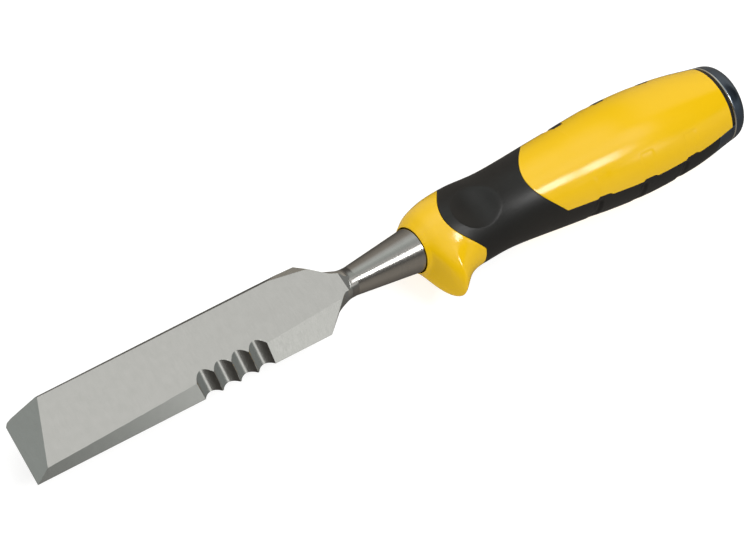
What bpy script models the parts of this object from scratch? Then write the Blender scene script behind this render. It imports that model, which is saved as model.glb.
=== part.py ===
"""A heavy bench chisel: one forging from cutting edge to tang, a hard handle core with a finger
guard, a soft grip moulded round it and a steel strike cap.

Tool axes, before the last step: +X from the cutting edge to the strike cap, +Y towards the thick spine,
+Z out of the ground face, and z = 0 on the flat back. The last step moves the origin to the bottom centre
of the bounding box. All lengths are in metres."""

import math

import bmesh
import bpy
import numpy as np
from mathutils import Vector

GAP = 0.0003  # between neighbouring pieces
STEP = 0.0001  # length of a sudden change of radius
CLEAR = 0.04  # reach of a cutter past the tool

# Blade, a wedge in section: a sharp side edge at -Y and a thick spine at +Y.
EDGE_Y = -0.0127
BACK_FAR_Y = 0.0091
FACET_SKEW = 0.116
FACET_RUN = 2.145  # length of the cutting bevel for each unit of height: 25 degrees
FACE_END_X = 0.132
FACE_END_Z = 0.00548
FACE_RISE_X = 0.0136
FACE_RISE_Y = 0.15
SIDE_BEVEL_TIP = 0.80  # slope of the side bevel at the tip, and how much it eases for each metre
SIDE_BEVEL_EASE = 1.6
SPINE_WALL = ((0.0102, 0.0004), (0.01075, 0.0012))
SPINE_TOP_TIP, SPINE_TOP_REAR = (0.01215, 0.00525), (0.01186, 0.0059)
SPINE_CHAMFER_TIP, SPINE_CHAMFER_REAR = 0.39, 0.70
SHOULDER_X = 0.1203
SHOULDER_ANGLE = math.radians(38)
SHOULDER_DRAFT = math.radians(12)
CORNER_FACET = ((0.1115, 0.0106, 0.00678), (0.1194, 0.01186, 0.00585), (0.1223, 0.0089, 0.00667))
RAMP_LENGTH, RAMP_SLOPE, RAMP_SKEW = 0.012, 0.5, 0.11
BEVEL_END_X = 0.1280

# Scallops ground across the side bevel.
SCALLOP_COUNT = 4
SCALLOP_FIRST_X = 0.0712
SCALLOP_PITCH = 0.0073
SCALLOP_RADIUS = 0.0074
SCALLOP_ROOT_Y = -0.01107
SCALLOP_TILT = math.radians(31)

# Neck, bolster cone and tang.
AXIS_Z = 0.0015
CONE_START_X, CONE_END_X = 0.1365, 0.1628
CONE_START_R, CONE_END_R = 0.00497, 0.0078
NECK_FLARE = (  # x, half width, top, bottom, squareness
    (0.1240, 0.0088, 0.0066, 0.0012, 2.6),
    (0.1280, 0.0069, 0.0063, 0.0024, 2.4),
    (0.1310, 0.0058, 0.0059, 0.0038, 2.2),
    (0.1340, 0.0051, 0.0053, 0.0048, 2.0),
    (CONE_START_X, CONE_START_R, CONE_START_R, CONE_START_R, 2.0),
)
TANG_R = 0.0045
TANG_END_X = 0.2857
SPIGOT_R, SPIGOT_LENGTH = 0.003, 0.003
TANG_BORE_R = 0.0048

# Handle outline: x, half width, half height.
HANDLE = (
    (0.1620, 0.0082, 0.0082),
    (0.1635, 0.0093, 0.0092),
    (0.1670, 0.0113, 0.0110),
    (0.1740, 0.0131, 0.0125),
    (0.1840, 0.0139, 0.0131),
    (0.1980, 0.0136, 0.0128),
    (0.2220, 0.0154, 0.0145),
    (0.2480, 0.0172, 0.0162),
    (0.2700, 0.0163, 0.0154),
    (0.2860, 0.0137, 0.0133),
    (0.2905, 0.0128, 0.0126),
    (0.2925, 0.0112, 0.0111),
    (0.2932, 0.0093, 0.0093),
)
SWEEP_START_X, SWEEP_END_X, SWEEP_Y = 0.175, 0.285, -0.00215
GUARD_X, GUARD_REACH = 0.1693, 0.0091
GUARD_FRONT, GUARD_BACK = 0.0059, 0.0060  # how far the guard spreads along the handle
DISH_X, DISH_LENGTH, DISH_WIDTH, DISH_DEPTH = 0.1843, 0.0093, 0.0076, 0.0018
BED_DEPTH = 0.0032  # the grip's thickness
COLLAR_END_X, COLLAR_CURVE, COLLAR_MIDDLE_Y = 0.1714, 58.5, 0.0005
COLLAR_CORNER, CORNER_SLOPE = 0.01337, 0.8
LINE_REACH = 0.0165
PANEL_START_X, PANEL_CURVE, PANEL_MIDDLE_Y = 0.2044, 55.0, -0.0006
PANEL_END_X = 0.2860
PANEL_LEVEL = 0.0063  # height of the panels' long edges above and below the axis
TAB_START_X = 0.2795
NOTCH_X, NOTCH_PITCH, NOTCH_COUNT = 0.2290, 0.0178, 3
NOTCH_R, NOTCH_DEPTH = 0.005, 0.0006

FAR_X = 0.32  # past the end of the tool
SEGMENTS = 44


def clear_scene():
    for item in list(bpy.data.objects):
        bpy.data.objects.remove(item, do_unlink=True)


def material(name, colour, roughness, metallic=0.0):
    made = bpy.data.materials.new(name)
    made.use_nodes = True
    shader = made.node_tree.nodes["Principled BSDF"]
    shader.inputs["Base Color"].default_value = (*colour, 1.0)
    shader.inputs["Roughness"].default_value = roughness
    shader.inputs["Metallic"].default_value = metallic
    return made


def add_object(name, mesh_tool, look=None, cutter=False):
    bmesh.ops.recalc_face_normals(mesh_tool, faces=mesh_tool.faces)
    mesh = bpy.data.meshes.new(name)
    mesh_tool.to_mesh(mesh)
    mesh_tool.free()
    made = bpy.data.objects.new(name, mesh)
    bpy.context.scene.collection.objects.link(made)
    if look:
        mesh.materials.append(look)
        mesh.shade_smooth()
        mesh.set_sharp_from_angle(angle=math.radians(28))
    if cutter:
        made.hide_render = True
        made.display_type = "WIRE"
    return made


def cut(target, tool, operation="DIFFERENCE"):
    step = target.modifiers.new(tool.name, "BOOLEAN")
    step.operation = operation
    step.solver = "EXACT"
    step.object = tool


def loft(rings):
    """A closed body through rings of points that all have the same count."""
    tool = bmesh.new()
    loops = [[tool.verts.new(point) for point in ring] for ring in rings]
    for first, second in zip(loops, loops[1:]):
        for i in range(len(first)):
            j = (i + 1) % len(first)
            tool.faces.new((first[i], first[j], second[j], second[i]))
    tool.faces.new(loops[0])
    tool.faces.new(loops[-1])
    return tool


def prism(outline, low_z, high_z):
    """The outline, in plan, stood up between two heights."""
    return loft([[(x, y, z) for x, y in outline] for z in (low_z, high_z)])


def box(low, high):
    outline = [(low[0], low[1]), (high[0], low[1]), (high[0], high[1]), (low[0], high[1])]
    return prism(outline, low[2], high[2])


def spline(points, count):
    """Catmull-Rom curve through the points, with count steps on each span."""
    table = np.array(points)
    table = np.vstack([2 * table[0] - table[1], table, 2 * table[-1] - table[-2]])
    rows = []
    for i in range(1, len(table) - 2):
        before, start, end, after = table[i - 1 : i + 3]
        for step in range(count):
            t = step / count
            rows.append(
                0.5
                * (
                    2 * start
                    + (end - before) * t
                    + (2 * before - 5 * start + 4 * end - after) * t**2
                    + (3 * start - before - 3 * end + after) * t**3
                )
            )
    rows.append(table[-2])
    return np.array(rows)


def mix(first, second, share):
    return first + (second - first) * share


# ---------------------------------------------------------------- blade


def face_height(x, y):
    """Height of the ground face above the flat back."""
    return FACE_END_Z + FACE_RISE_X * (x - FACE_END_X) + FACE_RISE_Y * y


def blade_section(x):
    """Section of the bar before its face is ground: a roof over the edge, the spine and the back."""
    share = x / SHOULDER_X
    top_y = mix(SPINE_TOP_TIP[0], SPINE_TOP_REAR[0], share)
    top_z = mix(SPINE_TOP_TIP[1], SPINE_TOP_REAR[1], share)
    bevel = SIDE_BEVEL_TIP - SIDE_BEVEL_EASE * x
    chamfer = mix(SPINE_CHAMFER_TIP, SPINE_CHAMFER_REAR, share)
    ridge_y = (top_z + chamfer * top_y + bevel * EDGE_Y) / (bevel + chamfer)
    ridge_z = bevel * (ridge_y - EDGE_Y)
    return [(EDGE_Y, 0), (ridge_y, ridge_z), (top_y, top_z), SPINE_WALL[1], SPINE_WALL[0], (BACK_FAR_Y, 0)]


def keep_below(tool, point, normal):
    """Cuts the body with a plane, keeps what is behind it and closes the cut."""
    parts = tool.verts[:] + tool.edges[:] + tool.faces[:]
    done = bmesh.ops.bisect_plane(
        tool, geom=parts, plane_co=point, plane_no=normal, clear_outer=True, dist=1e-7
    )
    rim = [item for item in done["geom_cut"] if isinstance(item, bmesh.types.BMEdge)]
    bmesh.ops.contextual_create(tool, geom=rim)


def make_slab():
    stations = np.linspace(-0.002, 0.134, 18)
    tool = loft([[(x, y, z) for y, z in blade_section(x)] for x in stations])
    keep_below(tool, Vector((0, EDGE_Y, 0)), Vector((-1, FACET_SKEW, FACET_RUN)).normalized())
    for side in (-1, 1):
        across = Vector((math.sin(SHOULDER_ANGLE), side * math.cos(SHOULDER_ANGLE), 0))
        normal = across * math.cos(SHOULDER_DRAFT) + Vector((0, 0, math.sin(SHOULDER_DRAFT)))
        keep_below(tool, Vector((SHOULDER_X, side * -EDGE_Y, 0)), normal)
    corner = [Vector(point) for point in CORNER_FACET]
    normal = (corner[1] - corner[0]).cross(corner[2] - corner[0]).normalized()
    keep_below(tool, corner[0], normal if normal.z > 0 else -normal)
    return add_object("blade", tool, STEEL)


def neck_ring(x, half_width, top, bottom, power, count=32):
    ring = []
    for i in range(count):
        angle = 2 * math.pi * (i + 0.5) / count
        c, s = math.cos(angle), math.sin(angle)
        y = math.copysign(abs(c) ** (2 / power), c) * half_width
        z = math.copysign(abs(s) ** (2 / power), s) * (top if s > 0 else bottom)
        ring.append((x, y, AXIS_Z + z))
    return ring


def round_ring(x, radius, count=24):
    return neck_ring(x, radius, radius, radius, 2.0, count)


def make_neck():
    """From inside the shoulders, down to the thin neck, out along the cone, then the tang."""
    rings = [neck_ring(*row) for row in spline(NECK_FLARE, 3)]
    stations = (
        (CONE_END_X, CONE_END_R),
        (CONE_END_X + STEP, TANG_R),
        (TANG_END_X, TANG_R),
        (TANG_END_X + STEP, SPIGOT_R),
        (TANG_END_X + SPIGOT_LENGTH, SPIGOT_R),
    )
    rings += [round_ring(x, radius, 32) for x, radius in stations]
    neck = add_object("neck", loft(rings), cutter=True)
    cut(neck, make_bevel_grinder())
    return neck


def make_bevel_grinder():
    """What the side bevel's wheel takes off the neck, up to where it stops."""
    slope = SIDE_BEVEL_TIP - SIDE_BEVEL_EASE * BEVEL_END_X
    rings = []
    for y in (EDGE_Y, CLEAR):
        level = (y - EDGE_Y) * slope
        corners = ((0.11, level), (BEVEL_END_X, level), (BEVEL_END_X, CLEAR), (0.11, CLEAR))
        rings.append([(x, y, z) for x, z in corners])
    return add_object("bevel_grinder", loft(rings), cutter=True)


def make_face_grinder():
    """What the grinder takes off: everything over the face, up to the ramp at its end."""
    rings = []
    for y in (-CLEAR, CLEAR):
        end_x = FACE_END_X - RAMP_SKEW * y
        ramp_x = end_x + RAMP_LENGTH
        start_z, end_z = face_height(-0.01, y), face_height(end_x, y)
        ramp_z = end_z + RAMP_LENGTH * RAMP_SLOPE
        corners = ((-0.01, start_z), (end_x, end_z), (ramp_x, ramp_z), (ramp_x, CLEAR), (-0.01, CLEAR))
        rings.append([(x, y, z) for x, z in corners])
    return add_object("face_grinder", loft(rings), cutter=True)


def make_scallop(index):
    """A grinding wheel's rim, laid along the side bevel."""
    along = Vector((0, math.cos(SCALLOP_TILT), math.sin(SCALLOP_TILT)))
    out = Vector((0, -math.sin(SCALLOP_TILT), math.cos(SCALLOP_TILT)))
    root = Vector((SCALLOP_FIRST_X + index * SCALLOP_PITCH, SCALLOP_ROOT_Y, 0))
    centre = root + out * SCALLOP_RADIUS
    rings = []
    for reach in (-0.02, 0.02):
        ring = []
        for i in range(40):
            angle = 2 * math.pi * i / 40
            side = Vector((1, 0, 0)) * math.sin(angle) + out * math.cos(angle)
            ring.append(centre + along * reach + side * SCALLOP_RADIUS)
        rings.append(ring)
    return add_object(f"scallop_wheel_{index + 1}", loft(rings), cutter=True)


def make_blade():
    blade = make_slab()
    cut(blade, make_neck(), "UNION")
    cut(blade, make_face_grinder())
    for index in range(SCALLOP_COUNT):
        cut(blade, make_scallop(index))
    return blade


# ---------------------------------------------------------------- handle


def guard_rise(x):
    """Share of the guard's reach at x: a round front and a long hollow back."""
    if x < GUARD_X:
        return max(0.0, 1 - ((GUARD_X - x) / GUARD_FRONT) ** 2)
    return math.exp(-(((x - GUARD_X) / GUARD_BACK) ** 1.32))


def sweep(x):
    share = (x - SWEEP_START_X) / (SWEEP_END_X - SWEEP_START_X)
    return SWEEP_Y * min(max(share, 0.0), 1.0)


def skin_ring(x, half_width, half_height):
    """One section of the finished handle, with the guard and the thumb dish in it."""
    ring = []
    for i in range(SEGMENTS):
        angle = 2 * math.pi * i / SEGMENTS
        c, s = math.cos(angle), math.sin(angle)
        reach = GUARD_REACH * guard_rise(x) * max(0.0, -c) ** 4
        y = c * (half_width + reach)
        z = s * (half_height + reach)
        off = math.hypot((x - DISH_X) / DISH_LENGTH, y / DISH_WIDTH)
        if off < 1:
            z -= math.copysign(DISH_DEPTH * (1 - off**2) ** 1.3, z)
        ring.append((x, sweep(x) + y, AXIS_Z + z))
    return ring


def make_skin(name, first_x, last_x, look):
    """The finished outside of the handle, between two stations."""
    rows = [row for row in spline(HANDLE, 5) if first_x - 1e-6 <= row[0] <= last_x + 1e-6]
    return add_object(name, loft([skin_ring(*row) for row in rows]), look)


def make_bed(name, grow, end_x):
    """The core under the grip."""
    rings = []
    for x, half_width, half_height in spline(HANDLE[2:10], 2):
        x = min(x, end_x)
        ring = []
        for i in range(28):
            angle = 2 * math.pi * i / 28
            y = math.cos(angle) * (half_width - BED_DEPTH + grow)
            z = math.sin(angle) * (half_height - BED_DEPTH + grow)
            ring.append((x, sweep(x) + y, AXIS_Z + z))
        rings.append(ring)
    rings = [ring for ring, after in zip(rings, rings[1:] + [None]) if not after or after[0][0] > ring[0][0]]
    return add_object(name, loft(rings), cutter=True)


def curved_line(start_x, curve, centre_y, corner=LINE_REACH):
    """A parabola across the handle, from -Y to +Y, which runs on straighter past its corners."""
    points = []
    for across in sorted({*np.linspace(-LINE_REACH, LINE_REACH, 17), -corner, corner}):
        reach = min(abs(across), corner)
        points.append((start_x + curve * reach**2 + CORNER_SLOPE * (abs(across) - reach), centre_y + across))
    return points


def collar_line(inset):
    return curved_line(COLLAR_END_X + inset, COLLAR_CURVE, COLLAR_MIDDLE_Y, COLLAR_CORNER)


def behind(line, end_x):
    """The plan outline of what lies between the line and end_x, widened past the handle."""
    first, last = line[0], line[-1]
    return [(first[0], -CLEAR), *line, (last[0], CLEAR), (end_x, CLEAR), (end_x, -CLEAR)]


def make_window(name, sign, inset):
    """The space over one hard panel, above or below the axis."""
    line = curved_line(PANEL_START_X + inset, PANEL_CURVE, PANEL_MIDDLE_Y)
    low, high = sorted((AXIS_Z + sign * (PANEL_LEVEL + inset), AXIS_Z + sign * CLEAR))
    return add_object(name, prism(behind(line, FAR_X), low, high), cutter=True)


def make_end(name, first_x):
    """Everything of the handle from first_x back."""
    return add_object(name, box((first_x, -CLEAR, -CLEAR), (FAR_X, CLEAR, CLEAR)), cutter=True)


def make_core():
    core = make_skin("handle_core", HANDLE[0][0], PANEL_END_X, YELLOW)
    void = add_object("grip_space", prism(behind(collar_line(-GAP / 2), FAR_X), -CLEAR, CLEAR), cutter=True)
    cut(void, make_bed("core_bed", 0.0, PANEL_END_X + 0.01))
    for sign, side in ((1, "upper"), (-1, "lower")):
        cut(void, make_window(f"{side}_panel_space", sign, GAP / 2))
    cut(core, void)
    stations = (
        (HANDLE[0][0] - STEP, CONE_END_R + GAP),
        (CONE_END_X + GAP, CONE_END_R + GAP),
        (CONE_END_X + GAP + STEP, TANG_BORE_R),
        (FAR_X, TANG_BORE_R),
    )
    cut(core, add_object("tang_bore", loft([round_ring(*station) for station in stations]), cutter=True))
    cut(core, make_end("core_end", PANEL_END_X - GAP))
    return core


def make_notch(index, side):
    """A shallow scoop across a side strip of the grip."""
    x = NOTCH_X + index * NOTCH_PITCH
    half_width = np.interp(x, [row[0] for row in HANDLE], [row[1] for row in HANDLE])
    centre_y = sweep(x) + side * (half_width + NOTCH_R - NOTCH_DEPTH)
    outline = []
    for i in range(20):
        angle = 2 * math.pi * i / 20
        outline.append((x + NOTCH_R * math.cos(angle), centre_y + NOTCH_R * math.sin(angle)))
    where = "spine" if side > 0 else "edge"
    return add_object(f"notch_{index + 1}_{where}", prism(outline, -CLEAR, CLEAR), cutter=True)


def make_grip():
    grip = make_skin("grip_sleeve", HANDLE[2][0], PANEL_END_X, RUBBER)
    front = behind(collar_line(GAP / 2), HANDLE[0][0] - STEP)
    cut(grip, add_object("collar_space", prism(front, -CLEAR, CLEAR), cutter=True))
    cut(grip, make_bed("bed_space", GAP, PANEL_END_X + 0.02))
    for sign, side in ((1, "upper"), (-1, "lower")):
        cut(grip, make_window(f"{side}_window", sign, -GAP / 2))
    cut(grip, make_end("grip_end", TAB_START_X - GAP))
    for index in range(NOTCH_COUNT):
        for side in (-1, 1):
            cut(grip, make_notch(index, side))
    return grip


def make_cap():
    """A domed plate over the tang's end, with a tab down each side of the handle."""
    cap = make_skin("strike_cap", HANDLE[8][0], HANDLE[-1][0], BLACK_STEEL)
    front_x = HANDLE[8][0] - STEP
    front = box((front_x, -CLEAR, -CLEAR), (TAB_START_X, CLEAR, CLEAR))
    cut(cap, add_object("tab_front", front, cutter=True))
    for sign, side in ((1, "upper"), (-1, "lower")):
        low, high = sorted((AXIS_Z + sign * (PANEL_LEVEL - GAP), AXIS_Z + sign * CLEAR))
        over = box((front_x, -CLEAR, low), (PANEL_END_X, CLEAR, high))
        cut(cap, add_object(f"{side}_panel_end", over, cutter=True))
    cut(cap, make_bed("cap_socket", GAP, PANEL_END_X))
    socket_end = TANG_END_X + SPIGOT_LENGTH + GAP
    socket = [round_ring(x, SPIGOT_R + GAP) for x in (TAB_START_X, socket_end)]
    cut(cap, add_object("spigot_hole", loft(socket), cutter=True))
    return cap


def stand_on_origin(pieces):
    """Hangs the pieces on an empty, and moves it so that the origin is at their box's bottom centre."""
    graph = bpy.context.evaluated_depsgraph_get()
    points = []
    for piece in pieces:
        points += [vert.co[:] for vert in piece.evaluated_get(graph).data.vertices]
    low, high = np.min(points, axis=0), np.max(points, axis=0)
    root = bpy.data.objects.new("chisel_origin", None)
    bpy.context.scene.collection.objects.link(root)
    for item in bpy.data.objects:
        if item is not root:
            item.parent = root
    root.location = (-(low[0] + high[0]) / 2, -(low[1] + high[1]) / 2, -low[2])


clear_scene()
STEEL = material("brushed_steel", (0.47, 0.47, 0.44), 0.35, 1.0)
YELLOW = material("yellow_plastic", (0.90, 0.55, 0.02), 0.25)
RUBBER = material("black_rubber", (0.03, 0.03, 0.028), 0.7)
BLACK_STEEL = material("black_oxide_steel", (0.06, 0.07, 0.09), 0.3, 1.0)
stand_on_origin([make_blade(), make_core(), make_grip(), make_cap()])
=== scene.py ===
# %% [markdown]
# # A heavy bench chisel
# The real tool is four parts: one steel forging from the cutting edge to the tang, a hard yellow handle
# core, a soft black grip moulded round it, and a dark steel cap to strike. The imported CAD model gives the
# places and sizes. This lesson builds a finer skin for each part, then its finish, then the studio.

# %% Load the frame
import math

import bmesh
import bpy
import numpy as np
from mathutils import Matrix, Vector, kdtree


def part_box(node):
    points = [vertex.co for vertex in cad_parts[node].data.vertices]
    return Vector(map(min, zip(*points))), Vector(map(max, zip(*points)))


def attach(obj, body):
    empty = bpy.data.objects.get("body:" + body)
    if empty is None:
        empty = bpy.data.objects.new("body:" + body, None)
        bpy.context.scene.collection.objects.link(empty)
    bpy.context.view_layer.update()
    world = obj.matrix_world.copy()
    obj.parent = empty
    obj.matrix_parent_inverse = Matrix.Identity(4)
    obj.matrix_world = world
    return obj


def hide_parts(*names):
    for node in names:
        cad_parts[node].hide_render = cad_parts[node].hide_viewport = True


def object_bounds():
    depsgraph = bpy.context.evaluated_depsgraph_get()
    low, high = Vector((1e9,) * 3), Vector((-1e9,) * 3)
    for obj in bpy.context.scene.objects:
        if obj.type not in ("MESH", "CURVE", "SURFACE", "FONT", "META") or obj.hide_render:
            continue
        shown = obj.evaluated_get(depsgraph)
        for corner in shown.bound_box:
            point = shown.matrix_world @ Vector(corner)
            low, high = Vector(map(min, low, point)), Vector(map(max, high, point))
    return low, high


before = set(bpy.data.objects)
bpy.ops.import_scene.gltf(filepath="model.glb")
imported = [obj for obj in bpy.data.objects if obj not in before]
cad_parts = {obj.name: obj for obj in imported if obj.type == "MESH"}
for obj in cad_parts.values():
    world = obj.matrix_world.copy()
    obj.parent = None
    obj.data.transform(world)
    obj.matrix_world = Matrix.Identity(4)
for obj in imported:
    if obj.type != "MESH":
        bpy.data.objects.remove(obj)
cad_low, cad_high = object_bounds()
print("CAD box:", tuple(cad_low), tuple(cad_high))

# %% [markdown]
# Everything below is drawn in tool axes: x from the cutting edge (0) to the cap, y from the sharp side to
# the spine, z = 0 on the flat back. Tool axes differ from the frame only by a shift. It is read from the
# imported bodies: the cutting edge is the blade's lowest x, its sharp side the lowest y, and the handle's
# core is as high above its axis as below it.

# %% The shift from tool axes to the frame
EDGE_Y = -0.0127
AXIS_Z = 0.0015
blade_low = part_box("blade")[0]
core_low, core_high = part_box("handle_core")
TO_FRAME = Vector((blade_low.x, blade_low.y - EDGE_Y, (core_low.z + core_high.z) / 2 - AXIS_Z))
print("shift to the frame:", tuple(round(value, 5) for value in TO_FRAME))

# %% [markdown]
# ## Camera
# A long lens far away keeps the blade and the handle in nearly parallel perspective, as catalogue cameras
# do. Two directions fix its turn: where it looks, and which way is up in the frame.

# %% Camera
CAMERA_PLACE = Vector((-1.89, -1.03259, 3.37303))
LOOK = Vector((0.5, 0.253201, -0.828184))
CAMERA_UP = Vector((0.393167, 0.785707, 0.477581))
camera_data = bpy.data.cameras.new("camera")
camera_data.sensor_width = 36.0
camera_data.lens = 606.7
camera_data.clip_end = 100.0
camera = bpy.data.objects.new("camera", camera_data)
bpy.context.scene.collection.objects.link(camera)
turn = Matrix((LOOK.cross(CAMERA_UP), CAMERA_UP, -LOOK)).transposed()
camera.matrix_world = Matrix.Translation(CAMERA_PLACE + TO_FRAME) @ turn.to_4x4()
bpy.context.scene.camera = camera
bpy.context.scene.view_settings.view_transform = "Standard"
print("camera to tool, m:", round((camera.matrix_world.translation - TO_FRAME).length, 3))

# %% [markdown]
# ## Studio
# Bright metal and gloss plastic are drawn by what they mirror, so the studio comes first. A pale floor and
# an even dome of light would do for rubber alone. Steel needs dark and light areas to mirror, so two large
# flat lamps hang above the tool, and a banded surround stands in for the rest of the studio.


# %% Floor
def link(made):
    bpy.context.scene.collection.objects.link(made)
    return made


def new_material(name):
    """A material, its node tree and its Principled shader."""
    made = bpy.data.materials.new(name)
    made.use_nodes = True
    return made, made.node_tree, made.node_tree.nodes["Principled BSDF"]


FLOOR_SIZE = 12.0
floor_tool = bmesh.new()
bmesh.ops.create_grid(floor_tool, x_segments=8, y_segments=8, size=FLOOR_SIZE / 2)
floor_mesh = bpy.data.meshes.new("floor")
floor_tool.to_mesh(floor_mesh)
floor_tool.free()
floor = link(bpy.data.objects.new("floor", floor_mesh))
floor_look, _, floor_shader = new_material("pale_floor")
for label, value in (
    ("Base Color", (0.4, 0.4, 0.4, 1.0)),
    ("Roughness", 0.9),
    ("Specular IOR Level", 0.0),
    ("Emission Color", (1.0, 1.0, 1.0, 1.0)),
    ("Emission Strength", 0.8),
):
    floor_shader.inputs[label].default_value = value
floor_mesh.materials.append(floor_look)
floor.visible_glossy = False
print("floor, m:", FLOOR_SIZE)

# %% [markdown]
# One long lamp over the sharp side draws the white line down the cone and along the yellow panel. Its
# length decides where those lines stop: it ends toward the cap, so the line fades before the handle's
# belly. A wide lamp straight above could do the rest of the lighting, but steel would mirror it as a grey
# sheet. It is hidden from reflections here, and only brightens the rough surfaces.

# %% Soft boxes
MIDDLE = (cad_low + cad_high) / 2
LAMP_DISTANCE = 3.0


def soft_box(name, direction, wide, deep, radiance):
    """A flat lamp that faces the tool. wide runs across the tool's length, deep along it."""
    data = bpy.data.lights.new(name, "AREA")
    data.shape = "RECTANGLE"
    data.size, data.size_y = deep, wide
    data.energy = radiance * math.pi * wide * deep
    lamp = link(bpy.data.objects.new(name, data))
    out = Vector(direction).normalized()
    along = (Vector((1, 0, 0)) - out * out.x).normalized()
    turned = Matrix((along, out.cross(along), out)).transposed().to_4x4()
    lamp.matrix_world = Matrix.Translation(MIDDLE + out * LAMP_DISTANCE) @ turned
    return lamp


soft_box("key_box", (0.24, -0.375, 0.89), wide=0.72, deep=0.93, radiance=12.0)
fill_box = soft_box("fill_box", (-0.1, 0.12, 1.0), wide=4.0, deep=4.0, radiance=1.35)
fill_box.visible_glossy = False

# %% [markdown]
# ## Node helpers
# A finish is a small graph of nodes. Three helpers keep each graph short to read: one adds a node with its
# links, one opens a new group with typed inputs and outputs, and one places a finished group in a tree.


# %% Node helpers
def add_node(tree, kind, *links, **settings):
    """A node with its settings, and its inputs linked from (input, socket) pairs."""
    node = tree.nodes.new(kind)
    for key, value in settings.items():
        setattr(node, key, value)
    for where, source in links:
        if isinstance(source, bpy.types.NodeSocket):
            tree.links.new(source, node.inputs[where])
        else:
            node.inputs[where].default_value = source
    return node


def new_group(name, inputs, outputs):
    tree = bpy.data.node_groups.new(name, "ShaderNodeTree")
    for label, kind, value in inputs:
        socket = tree.interface.new_socket(label, in_out="INPUT", socket_type=kind)
        if value is not None:
            socket.default_value = value
    for label, kind in outputs:
        tree.interface.new_socket(label, in_out="OUTPUT", socket_type=kind)
    return tree, tree.nodes.new("NodeGroupInput").outputs, tree.nodes.new("NodeGroupOutput").inputs


def place_group(tree, group, **values):
    node = tree.nodes.new("ShaderNodeGroup")
    node.node_tree = group
    for label, value in values.items():
        socket = node.inputs[label.replace("_", " ")]
        if isinstance(value, bpy.types.NodeSocket):
            tree.links.new(value, socket)
        else:
            socket.default_value = value
    return node.outputs

# %% [markdown]
# ## What the metal mirrors
# The rest of the studio is a surround that only shows in reflections. A picture of a studio could be wrapped
# round the scene, but a long tool mostly mirrors bands that run along it. So the surround is a table of
# levels against the angle round the tool's length. Three tables cover three leans toward the cap: a low lean
# for the cone and the grip, a middle lean for the flat blade, and a steep lean for what faces the cap. The
# surround dims toward the cutting edge.

# %% World
world = bpy.data.worlds.new("studio")
bpy.context.scene.world = world
world.use_nodes = True
sky = world.node_tree
background = sky.nodes["Background"]
WARM, NEUTRAL, COOL = (1.0, 0.92, 0.82), (1.0, 0.995, 0.98), (0.94, 1.0, 0.98)
LOW_BANDS = (
    (-180, 0.20, WARM), (-95, 0.50, WARM), (-68, 0.56, WARM), (-52, 0.88, NEUTRAL), (-35, 1.08, COOL),
    (-12, 0.66, COOL), (2, 0.72, NEUTRAL), (13, 0.34, NEUTRAL), (36, 0.14, NEUTRAL), (42, 0.06, WARM),
    (52, 0.07, WARM), (62, 0.30, WARM), (75, 0.40, WARM), (100, 0.42, WARM), (140, 0.28, WARM),
    (180, 0.20, WARM),
)
HIGH_BANDS = (
    (-180, 0.12, WARM), (-95, 0.06, NEUTRAL), (-50, 0.05, NEUTRAL), (-20, 0.15, NEUTRAL), (-9, 0.85, NEUTRAL),
    (-3, 1.09, NEUTRAL), (5, 1.09, NEUTRAL), (11, 0.80, NEUTRAL), (17, 0.25, NEUTRAL), (33, 0.28, NEUTRAL),
    (40, 1.25, NEUTRAL), (49, 1.75, NEUTRAL), (53, 0.58, COOL), (58, 0.30, COOL), (66, 0.20, NEUTRAL),
    (100, 0.26, WARM), (180, 0.12, WARM),
)
STEEP_BANDS = (
    (-180, 0.12, WARM), (-95, 0.34, WARM), (-57, 0.50, WARM), (-26, 0.55, WARM), (-14, 0.05, NEUTRAL),
    (36, 0.05, NEUTRAL), (48, 0.33, COOL), (62, 0.30, COOL), (75, 0.22, NEUTRAL), (180, 0.12, WARM),
)


def bands(tree, share, rows):
    """A colour for each angle round the tool's length, from (degrees, level, tint) rows."""
    node = add_node(tree, "ShaderNodeValToRGB", ("Fac", share))
    stops = node.color_ramp.elements
    while len(stops) < len(rows):
        stops.new(1.0)
    for stop, (degrees, level, tint) in zip(stops, rows):
        stop.position = degrees / 360 + 0.5
        stop.color = (*(level * part for part in tint), 1.0)
    return node.outputs["Color"]


def spread(tree, value, low, high, start=0.0, end=1.0):
    """Maps a value from low..high to start..end, and holds it at the ends."""
    limits = (("From Min", low), ("From Max", high), ("To Min", start), ("To Max", end))
    return add_node(tree, "ShaderNodeMapRange", ("Value", value), *limits).outputs[0]


looking = add_node(sky, "ShaderNodeTexCoord").outputs["Generated"]
way = add_node(sky, "ShaderNodeSeparateXYZ", (0, looking)).outputs
toward_edge = add_node(sky, "ShaderNodeMath", (0, way["Y"]), (1, -1.0), operation="MULTIPLY").outputs[0]
around_x = add_node(sky, "ShaderNodeMath", (0, toward_edge), (1, way["Z"]), operation="ARCTAN2").outputs[0]
share = spread(sky, around_x, -math.pi, math.pi)
colour = bands(sky, share, LOW_BANDS)
LEANS = ((0.36, 0.46, HIGH_BANDS), (0.51, 0.57, STEEP_BANDS))
DIM_AHEAD = 0.46
for low, high, rows in LEANS:
    blend = add_node(sky, "ShaderNodeMix", data_type="RGBA")
    sky.links.new(spread(sky, way["X"], low, high), blend.inputs[0])
    sky.links.new(colour, blend.inputs[6])
    sky.links.new(bands(sky, share, rows), blend.inputs[7])
    colour = blend.outputs[2]
sky.links.new(colour, background.inputs["Color"])
sky.links.new(spread(sky, way["X"], -0.4, 0.3, start=DIM_AHEAD), background.inputs["Strength"])
print("surround:", len(LOW_BANDS) + len(HIGH_BANDS) + len(STEEP_BANDS), "levels")

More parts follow.
